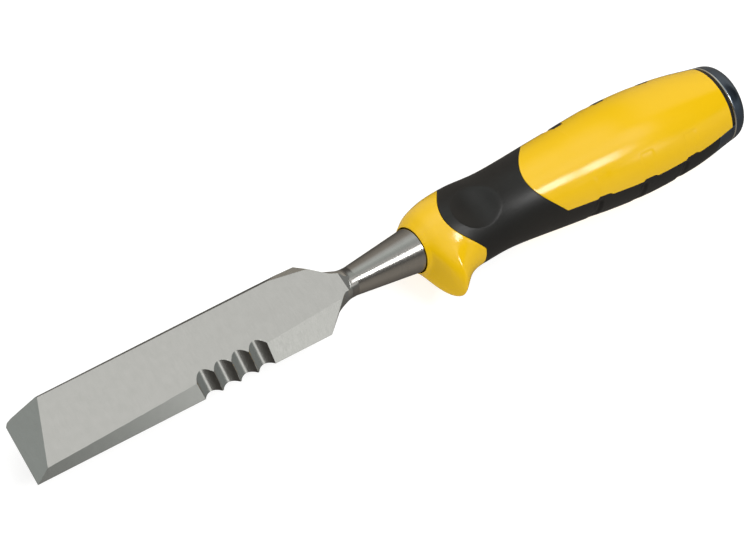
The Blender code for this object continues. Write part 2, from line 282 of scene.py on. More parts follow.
# %% [markdown]
# ## Shared shader groups
# Three effects come up in more than one finish, so each is a node group that is built once.
#
# Fine grain is the small unevenness that every moulded or finished surface keeps, together with a slower
# mottle about eight times as large. One noise at two scales is enough, since nobody sees a pattern in it.

# %% Fine grain
FLOAT, VECTOR = "NodeSocketFloat", "NodeSocketVector"


def noise(tree, point, scale, detail, roughness=0.5):
    settings = (("Vector", point), ("Scale", scale), ("Detail", detail), ("Roughness", roughness))
    return add_node(tree, "ShaderNodeTexNoise", *settings).outputs["Fac"]


GRAIN, given, out = new_group(
    "fine_grain",
    [("Point", VECTOR, None), ("Per Metre", FLOAT, 4000.0), ("Detail", FLOAT, 3.0)],
    [("Grain", FLOAT), ("Mottle", FLOAT)],
)
fine = noise(GRAIN, given["Point"], given["Per Metre"], given["Detail"])
pair = (0, given["Per Metre"]), (1, 0.12)
slower = add_node(GRAIN, "ShaderNodeMath", *pair, operation="MULTIPLY").outputs[0]
GRAIN.links.new(fine, out["Grain"])
GRAIN.links.new(noise(GRAIN, given["Point"], slower, 4.0), out["Mottle"])
print(GRAIN.name, len(GRAIN.nodes), "nodes")

# %% [markdown]
# A ground or turned face carries thousands of fine strokes in one direction. Real strokes could be cut as
# geometry, but they are a few thousandths of a millimetre deep. Noise that is squeezed along one axis gives
# the same long streaks, and a finish can point them along or round the part.

# %% Grinding lines
LINES, given, out = new_group(
    "grinding_lines",
    [("Point", VECTOR, None), ("Squeeze", VECTOR, (1.0, 0.05, 0.05)), ("Per Metre", FLOAT, 5000.0)],
    [("Lines", FLOAT)],
)
pair = (0, given["Point"]), (1, given["Squeeze"])
squeezed = add_node(LINES, "ShaderNodeVectorMath", *pair, operation="MULTIPLY").outputs[0]
LINES.links.new(noise(LINES, squeezed, given["Per Metre"], 3.0), out["Lines"])
print(LINES.name, len(LINES.nodes), "nodes")

# %% [markdown]
# Hands leave faint patches that are duller or shinier than their surroundings. A broad noise with its low
# values cut off gives patches with clear surface between them.

# %% Handling wear
WEAR, given, out = new_group(
    "handling_wear",
    [("Point", VECTOR, None), ("Per Metre", FLOAT, 120.0), ("Amount", FLOAT, 0.5)],
    [("Smudge", FLOAT)],
)
patches = noise(WEAR, given["Point"], given["Per Metre"], 5.0, 0.6)
pair = (0, spread(WEAR, patches, 0.35, 0.75)), (1, given["Amount"])
WEAR.links.new(add_node(WEAR, "ShaderNodeMath", *pair, operation="MULTIPLY").outputs[0], out["Smudge"])
print(WEAR.name, len(WEAR.nodes), "nodes")

# %% [markdown]
# ## Finishes
# Every finish below works the same way: a group makes a value that changes over the surface, and that value
# moves the colour a little between two shades, the roughness between two limits, and the surface up or down.


# %% Finish helpers
def blend_colour(tree, share, first, second):
    node = add_node(tree, "ShaderNodeMix", data_type="RGBA")
    tree.links.new(share, node.inputs[0])
    node.inputs[6].default_value = (*first, 1.0)
    node.inputs[7].default_value = (*second, 1.0)
    return node.outputs[2]


def bump(tree, height, distance):
    links = (("Height", height), ("Distance", distance), ("Strength", 1.0))
    return add_node(tree, "ShaderNodeBump", *links).outputs[0]

# %% [markdown]
# The blade is ground flat and left satin. The neck and cone are turned, so their strokes run round the axis,
# and they are a little darker and sharper. Both come from one function with different strokes. A chrome look
# would be wrong: satin steel mirrors lamps with soft edges.


# %% Steel
def steel_finish(name, dark, light, rough, squeeze, line_scale, relief):
    made, tree, shader = new_material(name)
    point = add_node(tree, "ShaderNodeTexCoord").outputs["Object"]
    lines = place_group(tree, LINES, Point=point, Squeeze=squeeze, Per_Metre=line_scale)["Lines"]
    grain = place_group(tree, GRAIN, Point=point, Per_Metre=2600.0)
    share = add_node(tree, "ShaderNodeMix", (0, 0.5), (2, lines), (3, grain["Mottle"])).outputs[0]
    tree.links.new(blend_colour(tree, share, dark, light), shader.inputs["Base Color"])
    tree.links.new(spread(tree, lines, 0.0, 1.0, *rough), shader.inputs["Roughness"])
    tree.links.new(bump(tree, lines, relief), shader.inputs["Normal"])
    shader.inputs["Metallic"].default_value = 1.0
    return made


STROKE_RELIEF = 0.0000015  # metres, as every relief here
GROUND_STEEL = steel_finish(
    "ground_steel",
    dark=(0.50, 0.50, 0.475),
    light=(0.60, 0.60, 0.575),
    rough=(0.16, 0.26),
    squeeze=(1.0, 0.06, 0.3),
    line_scale=3500.0,
    relief=STROKE_RELIEF,
)
TURNED_STEEL = steel_finish(
    "turned_steel",
    dark=(0.34, 0.33, 0.31),
    light=(0.46, 0.45, 0.43),
    rough=(0.15, 0.25),
    squeeze=(1.0, 0.03, 0.03),
    line_scale=5000.0,
    relief=STROKE_RELIEF,
)
print("steel finishes:", GROUND_STEEL.name, TURNED_STEEL.name)

# %% [markdown]
# The core is a glossy yellow plastic, hard and clean. The grip is black rubber: darker than it looks, since
# most of its grey is sheen from the lamps. The cap is steel with a black oxide skin, which is a metal with a
# dark blue-grey mirror, so it uses the plastic's layout with the metal switch on.


# %% Plastics and the black cap
def plastic_finish(name, colour, shade, rough, grain_scale, relief):
    made, tree, shader = new_material(name)
    point = add_node(tree, "ShaderNodeTexCoord").outputs["Object"]
    grain = place_group(tree, GRAIN, Point=point, Per_Metre=grain_scale)
    smudge = place_group(tree, WEAR, Point=point, Per_Metre=90.0, Amount=1.0)["Smudge"]
    tree.links.new(blend_colour(tree, grain["Mottle"], shade, colour), shader.inputs["Base Color"])
    tree.links.new(spread(tree, smudge, 0.0, 1.0, *rough), shader.inputs["Roughness"])
    tree.links.new(bump(tree, grain["Grain"], relief), shader.inputs["Normal"])
    return made, shader


YELLOW, yellow_shader = plastic_finish(
    "yellow_plastic",
    colour=(0.93, 0.57, 0.004),
    shade=(0.91, 0.55, 0.003),
    rough=(0.13, 0.19),
    grain_scale=900.0,
    relief=0.00001,
)
RUBBER, _ = plastic_finish(
    "black_rubber",
    colour=(0.010, 0.0096, 0.0085),
    shade=(0.007, 0.0068, 0.006),
    rough=(0.36, 0.44),
    grain_scale=4500.0,
    relief=0.00002,
)
BLACK_STEEL, cap_shader = plastic_finish(
    "black_oxide_steel",
    colour=(0.17, 0.22, 0.28),
    shade=(0.13, 0.16, 0.21),
    rough=(0.22, 0.3),
    grain_scale=3000.0,
    relief=0.000004,
)
yellow_shader.inputs["Specular IOR Level"].default_value = 0.8
cap_shader.inputs["Metallic"].default_value = 1.0
print("mouldings and cap:", YELLOW.name, RUBBER.name, BLACK_STEEL.name)

# %% [markdown]
# The cap's front rim gets a painted highlight: a band of light steel colour in the cap's own finish stands in
# for the bright line that the lamps draw along the chamfered edge. A separate ring of another finish could
# do this, but the band keeps the cap one piece. The band runs from the rim to a set distance behind it.

# %% Painted rim highlight
PANEL_END_X, TAB_START_X = 0.2860, 0.2794
PANEL_GAP, RIM_WIDTH = 0.0004, 0.0006
RING_X = PANEL_END_X + 0.0010
# Painted highlight: this light steel colour, in a band along the cap's front rim, stands in for the lamps'
# bright line on that edge.
RIM_HIGHLIGHT_COLOUR = (0.75, 0.74, 0.68, 1.0)
tree = BLACK_STEEL.node_tree
point = add_node(tree, "ShaderNodeTexCoord").outputs["Object"]
along = add_node(tree, "ShaderNodeSeparateXYZ", (0, point)).outputs["X"]
highlight_from, highlight_to = RING_X - 0.0001 + TO_FRAME.x, RING_X + RIM_WIDTH + TO_FRAME.x
starts = spread(tree, along, highlight_from - 0.0001, highlight_from)
ends = spread(tree, along, highlight_to, highlight_to - 0.0002)
painted_highlight = add_node(tree, "ShaderNodeMath", (0, starts), (1, ends), operation="MULTIPLY").outputs[0]
highlight_mix = add_node(tree, "ShaderNodeMix", data_type="RGBA")
tree.links.new(painted_highlight, highlight_mix.inputs[0])
tree.links.new(cap_shader.inputs["Base Color"].links[0].from_socket, highlight_mix.inputs[6])
highlight_mix.inputs[7].default_value = RIM_HIGHLIGHT_COLOUR
tree.links.new(highlight_mix.outputs[2], cap_shader.inputs["Base Color"])
# Prints the width of the painted rim highlight.
print("bare rim, mm:", round(1000 * RIM_WIDTH, 2))

# %% [markdown]
# ## Blade
# The forging is a flat bar with ground faces, then a round neck and cone, then the tang inside the handle.
# Ground faces are planes, so the blade is made as a grinder makes it: start with too much steel and cut.
# Lofts make the stock and the cutters, and Booleans do the grinding.


# %% Mesh helpers
def loft(rings):
    """A closed body through rings of points that all have the same count."""
    tool = bmesh.new()
    loops = [[tool.verts.new(point) for point in ring] for ring in rings]
    for first, second in zip(loops, loops[1:]):
        for i in range(len(first)):
            j = (i + 1) % len(first)
            tool.faces.new((first[i], first[j], second[j], second[i]))
    tool.faces.new(loops[0])
    tool.faces.new(loops[-1])
    bmesh.ops.recalc_face_normals(tool, faces=tool.faces)
    return tool


def mesh_object(name, tool):
    mesh = bpy.data.meshes.new(name)
    tool.to_mesh(mesh)
    tool.free()
    return link(bpy.data.objects.new(name, mesh))


def apply_modifiers(target):
    """Replaces the mesh by what its modifiers make."""
    graph = bpy.context.evaluated_depsgraph_get()
    made = bpy.data.meshes.new_from_object(target.evaluated_get(graph))
    target.modifiers.clear()
    target.data = made


def cut(target, tools, operation="DIFFERENCE"):
    for tool in tools:
        step = target.modifiers.new(tool.name, "BOOLEAN")
        step.operation, step.solver, step.object = operation, "EXACT", tool
    apply_modifiers(target)
    for tool in tools:
        bpy.data.objects.remove(tool, do_unlink=True)


def curve_through(points, count):
    """Catmull-Rom curve through the points, with count steps on each span."""
    table = np.array(points, float)
    table = np.vstack([2 * table[0] - table[1], table, 2 * table[-1] - table[-2]])
    rows = []
    for before, start, end, after in zip(table, table[1:], table[2:], table[3:]):
        for t in np.arange(count) / count:
            slope, bend = end - before, 2 * before - 5 * start + 4 * end - after
            twist = 3 * start - before - 3 * end + after
            rows.append(0.5 * (2 * start + slope * t + bend * t**2 + twist * t**3))
    return np.array(rows + [table[-2]])

# %% [markdown]
# The bar has a flat back, a long bevel on the sharp side, a narrow chamfer on the spine side and a cutting
# bevel in front. Its face slopes down toward the sharp side. The bevel turns slightly flatter toward the
# handle, so the section is a loft with changing slopes. Two drafted planes cut the shoulders, and a last
# small facet takes off the corner on the spine side.

# %% Blade planes
FACE_END_X, FACE_END_Z, FACE_END_SKEW = 0.132, 0.00548, -0.055
RAMP_LENGTH, RAMP_RISE = 0.010, 0.0066
FACE_RISE_X, FACE_RISE_Y = 0.0136, 0.15
BEVEL_TIP, BEVEL_EASE, BEVEL_END_X = 0.80, 1.6, 0.1345
SHOULDER_X, SHOULDER_ANGLE, SHOULDER_DRAFT = 0.1203, math.radians(38), math.radians(12)
BAR_START_X, BAR_END_X, BAR_SECTIONS = -0.002, 0.134, 18
CUTTING_BEVEL = Vector((-1, 0.116, 2.145))


def face_height(x, y):
    return FACE_END_Z + FACE_RISE_X * (x - FACE_END_X) + FACE_RISE_Y * y


def mix(first, second, share):
    return first + (second - first) * share


def blade_section(x):
    """The bar's section before its face is ground."""
    share = x / SHOULDER_X
    top_y, top_z = mix(0.01215, 0.01186, share), mix(0.0053, 0.0064, share)
    bevel, chamfer = BEVEL_TIP - BEVEL_EASE * x, mix(0.39, 0.70, share)
    ridge_y = (top_z + chamfer * top_y + bevel * EDGE_Y) / (bevel + chamfer)
    ridge_z = bevel * (ridge_y - EDGE_Y)
    sharp_side = [(EDGE_Y, 0), (ridge_y, ridge_z)]
    return sharp_side + [(top_y, top_z), (0.01075, 0.0012), (0.0102, 0.0004), (0.0091, 0)]


def keep_below(tool, point, normal):
    """Cuts away what lies in front of a plane and closes the cut."""
    plane = {"plane_co": point, "plane_no": normal, "clear_outer": True, "dist": 1e-7}
    done = bmesh.ops.bisect_plane(tool, geom=tool.verts[:] + tool.edges[:] + tool.faces[:], **plane)
    rim = [item for item in done["geom_cut"] if isinstance(item, bmesh.types.BMEdge)]
    bmesh.ops.contextual_create(tool, geom=rim)


bar_x = np.linspace(BAR_START_X, BAR_END_X, BAR_SECTIONS)
slab = loft([[(x, y, z) for y, z in blade_section(x)] for x in bar_x])
keep_below(slab, Vector((0, EDGE_Y, 0)), CUTTING_BEVEL.normalized())
for side in (-1, 1):
    across = Vector((math.sin(SHOULDER_ANGLE), side * math.cos(SHOULDER_ANGLE), 0))
    normal = across * math.cos(SHOULDER_DRAFT) + Vector((0, 0, math.sin(SHOULDER_DRAFT)))
    keep_below(slab, Vector((SHOULDER_X, side * -EDGE_Y, 0)), normal)
FACET = ((0.1115, 0.0106, 0.00678), (0.1194, 0.01186, 0.00585), (0.1223, 0.0089, 0.00667))
corner = [Vector(point) for point in FACET]
normal = (corner[1] - corner[0]).cross(corner[2] - corner[0]).normalized()
keep_below(slab, corner[0], normal if normal.z > 0 else -normal)
blade = mesh_object("blade_steel", slab)
print("bar faces:", len(blade.data.polygons))

# %% [markdown]
# Behind the shoulders the forging narrows to a neck, then widens as a cone toward the handle. Round sections
# would do for the cone. The neck blends into the flat blade, so its sections start as a rounded box that is
# slimmer on the sharp side, and turn into circles where the cone starts.

# %% Neck, cone and tang
CONE_START_X, CONE_END_X = 0.1365, 0.1628
CONE_START_R, CONE_END_R = 0.00497, 0.0078
TANG_END_X, TANG_R = 0.2857, 0.0045
NECK_SIDES = 96
CUTTER_REACH, GRINDER_START_X = 0.04, 0.11


def neck_ring(x, half_width, top, bottom, power, near_power):
    angle = 2 * np.pi * (np.arange(NECK_SIDES) + 0.5) / NECK_SIDES
    c, s = np.cos(angle), np.sin(angle)
    power = np.where((c < 0) & (s > 0), near_power, power)
    y = np.copysign(np.abs(c) ** (2 / power), c) * half_width
    z = np.copysign(np.abs(s) ** (2 / power), s) * np.where(s > 0, top, bottom)
    return [(x, a, AXIS_Z + b) for a, b in zip(y, z)]


flare = (
    (0.1240, 0.0088, 0.0060, 0.0012, 2.5, 1.9),
    (0.1280, 0.0069, 0.0055, 0.0024, 2.6, 1.7),
    (0.1310, 0.0058, 0.0052, 0.0038, 2.3, 1.5),
    (0.1335, 0.0051, 0.0048, 0.0046, 2.2, 2.0),
    (CONE_START_X, CONE_START_R, CONE_START_R, CONE_START_R, 2.0, 2.0),
)
rings = [neck_ring(*row) for row in curve_through(flare, 10)]
for x, radius in ((CONE_END_X, CONE_END_R), (CONE_END_X + 0.0001, TANG_R), (TANG_END_X, TANG_R)):
    rings.append(neck_ring(x, radius, radius, radius, 2.0, 2.0))
neck = mesh_object("neck", loft(rings))
print("neck sections:", len(rings))
grinder = []
for y in (EDGE_Y, CUTTER_REACH):
    level = (y - EDGE_Y) * (BEVEL_TIP - BEVEL_EASE * BEVEL_END_X) - 0.00002
    low_side = [(GRINDER_START_X, y, level), (BEVEL_END_X, y, level)]
    grinder.append(low_side + [(BEVEL_END_X, y, CUTTER_REACH), (GRINDER_START_X, y, CUTTER_REACH)])
cut(neck, [mesh_object("bevel_grinder", loft(grinder))])
cut(blade, [neck], "UNION")

# %% [markdown]
# The face is one plane from the cutting bevel to the neck, where the wheel leaves a short steep ramp up to
# the cone. One cutter carries both planes, so the line between them is exact.

# %% Face grinder
FACE_START_X = -0.01
face_rings = []
for y in (-CUTTER_REACH, CUTTER_REACH):
    end_x = FACE_END_X + FACE_END_SKEW * y
    end_z = face_height(end_x, y)
    ramp_end = end_x + RAMP_LENGTH
    start_z = face_height(FACE_START_X, y)
    ring = [(FACE_START_X, y, start_z), (end_x, y, end_z), (ramp_end, y, end_z + RAMP_RISE)]
    face_rings.append(ring + [(ramp_end, y, CUTTER_REACH), (FACE_START_X, y, CUTTER_REACH)])
cut(blade, [mesh_object("face_grinder", loft(face_rings))])
print("blade faces with a neck and a flat face:", len(blade.data.polygons))

# %% [markdown]
# Four round scallops are ground through the long bevel for stripping wire or scraping. Each is the path
# of a round wheel, so each cutter is a cylinder that lies nearly along the bevel and leans a little.

# %% Scallops
SCALLOP_FIRST_X, SCALLOP_PITCH, SCALLOP_RADIUS, SCALLOP_ROOT_Y = 0.0715, 0.0073, 0.0074, -0.01107
SCALLOP_TILT, SCALLOP_LEAN = math.radians(31), -0.13
SCALLOP_COUNT, WHEEL_SIDES, WHEEL_REACH = 4, 160, 0.02
wheels = []
for index in range(SCALLOP_COUNT):
    along = Vector((SCALLOP_LEAN, math.cos(SCALLOP_TILT), math.sin(SCALLOP_TILT)))
    out_way = Vector((0, -math.sin(SCALLOP_TILT), math.cos(SCALLOP_TILT)))
    centre = Vector((SCALLOP_FIRST_X + index * SCALLOP_PITCH, SCALLOP_ROOT_Y, 0)) + out_way * SCALLOP_RADIUS
    spokes = []
    for i in range(WHEEL_SIDES):
        angle = 2 * math.pi * i / WHEEL_SIDES
        spokes.append((Vector((1, 0, 0)) * math.sin(angle) + out_way * math.cos(angle)) * SCALLOP_RADIUS)
    rings = [[centre + along * reach + spoke for spoke in spokes] for reach in (-WHEEL_REACH, WHEEL_REACH)]
    wheels.append(mesh_object(f"wheel_{index + 1}", loft(rings)))
cut(blade, wheels)
print("blade faces after grinding:", len(blade.data.polygons))

# %% [markdown]
# No ground edge is perfectly sharp. A tenth of a millimetre of rounding gives each edge a thin light line,
# and weighted normals keep the flats flat. The neck and the cone get the turned finish.

# %% Blade edges
TURNED_FROM_X, EDGE_ROUNDING = 0.1335, 0.00010
tool = bmesh.new()
tool.from_mesh(blade.data)
bmesh.ops.remove_doubles(tool, verts=tool.verts, dist=2e-6)
bmesh.ops.dissolve_limit(tool, angle_limit=math.radians(0.3), verts=tool.verts, edges=tool.edges)
tool.to_mesh(blade.data)
tool.free()
blade.data.materials.clear()
blade.data.materials.append(GROUND_STEEL)
blade.data.materials.append(TURNED_STEEL)
for face in blade.data.polygons:
    face.material_index = 1 if face.center.x > TURNED_FROM_X else 0
blade.data.shade_smooth()
soften = blade.modifiers.new("worn_edges", "BEVEL")
soften.width, soften.segments = EDGE_ROUNDING, 2
soften.limit_method, soften.angle_limit = "ANGLE", math.radians(14)
soften.use_clamp_overlap = True
even = blade.modifiers.new("even_shading", "WEIGHTED_NORMAL")
even.keep_sharp = False
apply_modifiers(blade)
print("blade faces with worn edges:", len(blade.data.polygons))

# %% [markdown]
# ## Handle skin
# Collar, grip, panels and cap share one smooth outside. Four separate models would never meet cleanly. So
# the outside is one function, from a place along the tool and an angle round it to a point, and each
# piece takes its own patch of it. The function adds the finger guard, the thumb dish and the notches to a
# rounded profile, and the belly sags slightly toward the sharp side.

# %% Handle profile
HANDLE = (
    (0.1620, 0.0082, 0.0082),
    (0.1635, 0.0093, 0.0092),
    (0.1670, 0.0113, 0.0110),
    (0.1740, 0.0131, 0.0125),
    (0.1840, 0.0139, 0.0131),
    (0.1980, 0.0136, 0.0128),
    (0.2220, 0.0154, 0.0145),
    (0.2480, 0.0172, 0.0162),
    (0.2700, 0.0163, 0.0154),
    (0.2860, 0.0137, 0.0133),
    (0.2905, 0.0128, 0.0126),
    (0.2925, 0.0112, 0.0111),
    (0.2932, 0.0093, 0.0093),
)
profile = curve_through(HANDLE, 60)
CAP_END_X = HANDLE[-1][0]
GUARD_X, GUARD_REACH, GUARD_FRONT, GUARD_BACK = 0.1693, 0.0091, 0.0059, 0.0060
DISH_X, DISH_LENGTH, DISH_WIDTH, DISH_DEPTH = 0.1843, 0.0093, 0.0076, 0.0023
NOTCH_X, NOTCH_PITCH, NOTCH_COUNT, NOTCH_DEPTH = 0.2290, 0.0178, 3, 0.00085
BUMP_PITCH = 0.0182
REST_Y, REST_DEPTH, REST_BLEND = 0.0088, 0.00014, 0.0004
SAG, SAG_START_X, SAG_LENGTH = 0.00215, 0.175, 0.11
print("handle profile points:", len(profile))

# %% [markdown]
# The guard is a swelling of the profile on the sharp side, steep in front and slow behind. The dish is a
# shallow oval bowl on both flats. Notches sink the grip's side strips, and beside each one a shallow rest is
# pressed into the panel.


# %% Skin
def smooth_step(value, low, high):
    share = np.clip((value - low) / (high - low), 0.0, 1.0)
    return share * share * (3 - 2 * share)


def centre_y(x):
    """The belly's sag toward the sharp side."""
    return -SAG * np.clip((x - SAG_START_X) / SAG_LENGTH, 0.0, 1.1)


def guard_rise(x):
    front = np.clip(1 - ((GUARD_X - x) / GUARD_FRONT) ** 2, 0.0, 1.0)
    back = np.exp(-((np.maximum(x - GUARD_X, 0.0) / GUARD_BACK) ** 1.32))
    return np.where(x < GUARD_X, front, back)


def notch_depth(x):
    """The grip's notches: a slow way in and a quick way out."""
    depth = np.zeros_like(x)
    for index in range(NOTCH_COUNT):
        off = x - (NOTCH_X - 0.0007 + index * NOTCH_PITCH)
        depth += NOTCH_DEPTH * smooth_step(off, -0.0027, 0.0) * (1 - smooth_step(off, 0.0001, 0.0017))
    return depth


def bump_share(x):
    """1 where the grip's edge steps up into the hard panel beside a notch."""
    rise = np.zeros_like(x)
    for index in range(NOTCH_COUNT):
        off = x - (NOTCH_X + 0.0010 + index * BUMP_PITCH)
        rise += smooth_step(off, -0.0029, -0.0019) * (1 - smooth_step(off, 0.0018, 0.0034))
    return rise


def skin(x, angle):
    """Points on the handle's finished outside. angle 0 points to +y and a quarter turn to +z."""
    x, angle = np.broadcast_arrays(np.asarray(x, float), np.asarray(angle, float))
    c, s = np.cos(angle), np.sin(angle)
    reach = GUARD_REACH * guard_rise(x) * np.maximum(0.0, -c) ** 4
    half_width = np.interp(x, profile[:, 0], profile[:, 1]) + reach
    half_height = np.interp(x, profile[:, 0], profile[:, 2]) + reach
    side = 1 - smooth_step(np.abs(s) * half_height, 0.0044, 0.0064)
    sink = notch_depth(x) * side
    y, z = c * (half_width - sink), s * (half_height - sink)
    off = np.hypot((x - DISH_X) / DISH_LENGTH, y / DISH_WIDTH)
    power = 1.08 + 0.5 * smooth_step((x - DISH_X) / DISH_LENGTH, 0.0, 1.0)
    z = z - np.copysign(REST_DEPTH * bump_share(x) * smooth_step(-y, REST_Y, REST_Y + REST_BLEND), z)
    z = z - np.copysign(DISH_DEPTH * np.maximum(0.0, 1 - off**2) ** power, z)
    return np.stack([x, centre_y(x) + y, AXIS_Z + z], axis=-1)

# %% [markdown]
# The collar meets the grip in a curve that sweeps back on the sharp side, and the panels start with a
# similar curve. Both are parabolas seen from above. Along the sides each panel ends at a level above the
# tool's middle, with a step where a bump of the grip rises into it.

# %% Lines that part the pieces
PANEL_LEVEL = {1: 0.0050, -1: 0.0063}  # above the axis, on the spine side and on the sharp side
BUMP_TOP = {1: 0.0080, -1: 0.0070}
TAB_LIFT = {1: 0.0021, -1: 0.0}
SEAM = 0.00004  # half the gap at a seam
CORNER_REACH, CORNER_SLOPE = 0.01337, 0.2
COLLAR_BACK_X, COLLAR_BEND, COLLAR_Y = 0.1714, 58.5, 0.0005
PANEL_START_X, PANEL_BEND, PANEL_Y = 0.2044, 60.0, -0.0006
COLLAR_SEARCH, PANEL_SEARCH = (0.168, 0.19), (0.2, 0.23)


def collar_line(y):
    across = np.abs(y - COLLAR_Y)
    curve = COLLAR_BACK_X + COLLAR_BEND * np.minimum(across, CORNER_REACH) ** 2
    return curve + CORNER_SLOPE * np.maximum(across - CORNER_REACH, 0)


def panel_line(y):
    return PANEL_START_X + PANEL_BEND * (y - PANEL_Y) ** 2


def meet(line, angle_at, low, high):
    """Where the skin crosses a line drawn in plan, along columns whose angle may change with x."""
    low, high = np.full_like(angle_at(low), low), np.full_like(angle_at(high), high)
    for _ in range(40):
        middle = (low + high) / 2
        before = middle < line(skin(middle, angle_at(middle))[..., 1])
        low, high = np.where(before, middle, low), np.where(before, high, middle)
    return (low + high) / 2


def edge_angle(x, level_at):
    """Angle on the upper spine side where the skin is level_at above the axis."""
    half_height = np.interp(x, profile[:, 0], profile[:, 2])
    return np.arcsin(np.clip(level_at / half_height, 0, 1))


def close_steps(count, near=(0.0, 0.02, 0.045, 0.075)):
    """Steps from 0 to 1 that crowd together at both ends."""
    inner = np.linspace(near[-1], 1 - near[-1], count)
    return np.concatenate([near[:-1], inner, 1 - np.array(near[:-1])[::-1]])


def positions(start, end, count, near=(0.0, 0.00004, 0.0001, 0.00018)):
    """Places from start to end, per column, with the first and last few a set distance from the ends."""
    near = np.array(near)
    share = np.linspace(0, 1, count)[:, None]
    inner = (start + near[-1])[None] + share * ((end - near[-1]) - (start + near[-1]))[None]
    head = start[None] + near[:-1, None]
    tail = end[None] - near[:-1][::-1, None]
    return np.concatenate([head, inner, tail])

# %% [markdown]
# A moulding is a skin with thickness. A Solidify modifier could add it, but the rim must be rounded first,
# and only at the border. So the builder welds the patches, finds the border, drops the points near it along
# a quarter circle, and backs everything with an inner wall. At the front the inner wall is the tang's bore.

# %% Shell builder
BORE_R, BORE_END_X = 0.0081, 0.17


def shell(name, sheets, thickness, rim, look):
    """Welds sheets of points into one skin, rounds its rim and backs it with an inner wall."""
    tool = bmesh.new()
    for sheet, wrap in sheets:
        rows, columns = sheet.shape[:2]
        verts = [[tool.verts.new(point) for point in row] for row in sheet]
        for i in range(rows - 1):
            for j in range(columns if wrap else columns - 1):
                k = (j + 1) % columns
                tool.faces.new((verts[i][j], verts[i][k], verts[i + 1][k], verts[i + 1][j]))
    bmesh.ops.remove_doubles(tool, verts=tool.verts, dist=2e-6)
    bmesh.ops.recalc_face_normals(tool, faces=tool.faces)
    tool.normal_update()
    outward = 0.0
    for face in tool.faces:
        centre = face.calc_center_median()
        outward += face.normal.y * centre.y + face.normal.z * (centre.z - AXIS_Z)
    if outward < 0:
        bmesh.ops.reverse_faces(tool, faces=tool.faces)
        tool.normal_update()
    tool.verts.index_update()
    edges = [edge for edge in tool.edges if len(edge.link_faces) == 1]
    samples = [mix(edge.verts[0].co, edge.verts[1].co, t) for edge in edges for t in (0.0, 0.25, 0.5, 0.75)]
    tree = kdtree.KDTree(len(samples))
    for index, point in enumerate(samples):
        tree.insert(point, index)
    tree.balance()
    points, normals = [v.co.copy() for v in tool.verts], [v.normal.copy() for v in tool.verts]
    inner = []
    for vert, point, normal in zip(list(tool.verts), points, normals):
        near = tree.find(point)[2]
        if near < rim:
            vert.co = point - normal * (rim - math.sqrt(max(0.0, rim**2 - (rim - near) ** 2)))
        inner.append(tool.verts.new(point - normal * thickness))
    faces = [[v.index for v in face.verts] for face in tool.faces]
    ends = [[v.index for v in edge.verts] for edge in edges]
    owners = [edge.link_faces[0] for edge in edges]
    turns = []
    for (a, b), owner in zip(ends, owners):
        ring = [v.index for v in owner.verts]
        turns.append((a, b) if ring[(ring.index(a) + 1) % len(ring)] == b else (b, a))
    tool.verts.ensure_lookup_table()
    outer = [tool.verts[i] for i in range(len(points))]
    for ring in faces:
        tool.faces.new([inner[i] for i in reversed(ring)])
    for a, b in turns:
        tool.faces.new((outer[b], outer[a], inner[a], inner[b]))
    for vert in tool.verts:
        radial = Vector((vert.co.y, vert.co.z - AXIS_Z))
        if vert.co.x < BORE_END_X and 1e-6 < radial.length < BORE_R:
            vert.co.y = radial.x * BORE_R / radial.length
            vert.co.z = AXIS_Z + radial.y * BORE_R / radial.length
    made = mesh_object(name, tool)
    made.data.materials.append(look)
    made.data.shade_smooth()
    made.data.set_sharp_from_angle(angle=math.radians(50))
    print(name, len(made.data.polygons), "faces")
    return made

# %% [markdown]
# ## Collar
# The hard core shows in front as a collar with a finger guard. It is a patch that runs round the whole
# handle, from the bore to the curved line where the rubber starts.

# %% Collar
TURN = 2 * np.pi
WALL, RIM_ROUND = 0.0015, 0.00015
collar_angles = np.linspace(0, TURN, 480, endpoint=False)
border = meet(collar_line, lambda x: collar_angles + 0 * x, *COLLAR_SEARCH) - SEAM
rows = positions(np.full_like(border, HANDLE[0][0]), border, 70)
collar = shell("collar", [(skin(rows, collar_angles[None]), True)], 0.0012, RIM_ROUND, YELLOW)

# %% [markdown]
# ## Grip
# The rubber runs round the waist, and sends a strip down each side between the panels. A texture mask on one
# handle would give the same outline without a seam. Real patches give the seam its small groove. The strips
# keep their own columns as they run back, so all the patches weld into one piece.

# %% Grip
# Angles run round the sleeve: the strip on the spine side, the upper panel's front, the strip on the
# sharp side, the lower panel's front.
FRONT_COLUMNS, STRIP_COLUMNS = 100, 24
CROWD = close_steps(STRIP_COLUMNS, (0.0, 0.004, 0.01, 0.018))
TAB_RISE = (0.270, 0.278)  # from where to where the spine strip widens, to meet the cap's tab
TAB_GAP = 0.0001


def panel_edge(x, side, inset):
    """Angle above the side line at which a panel ends: side +1 is the spine side, -1 the sharp side."""
    level = PANEL_LEVEL[side] + TAB_LIFT[side] * smooth_step(x, *TAB_RISE)
    return edge_angle(x, mix(level, BUMP_TOP[side], bump_share(x)) + inset)


def strip_angles(x, side, inset):
    """Columns across a strip at x."""
    edge = panel_edge(x, side, inset)
    return (0.0 if side > 0 else math.pi) + np.multiply.outer(edge, 2 * CROWD - 1)


def strip_start(side):
    """Where a panel's front meets its long edge."""

    def angle_at(x):
        edge = np.atleast_1d(panel_edge(np.asarray(x, float), side, -SEAM))
        return edge if side > 0 else math.pi - edge

    return float(meet(panel_line, angle_at, *PANEL_SEARCH)[0]) - SEAM


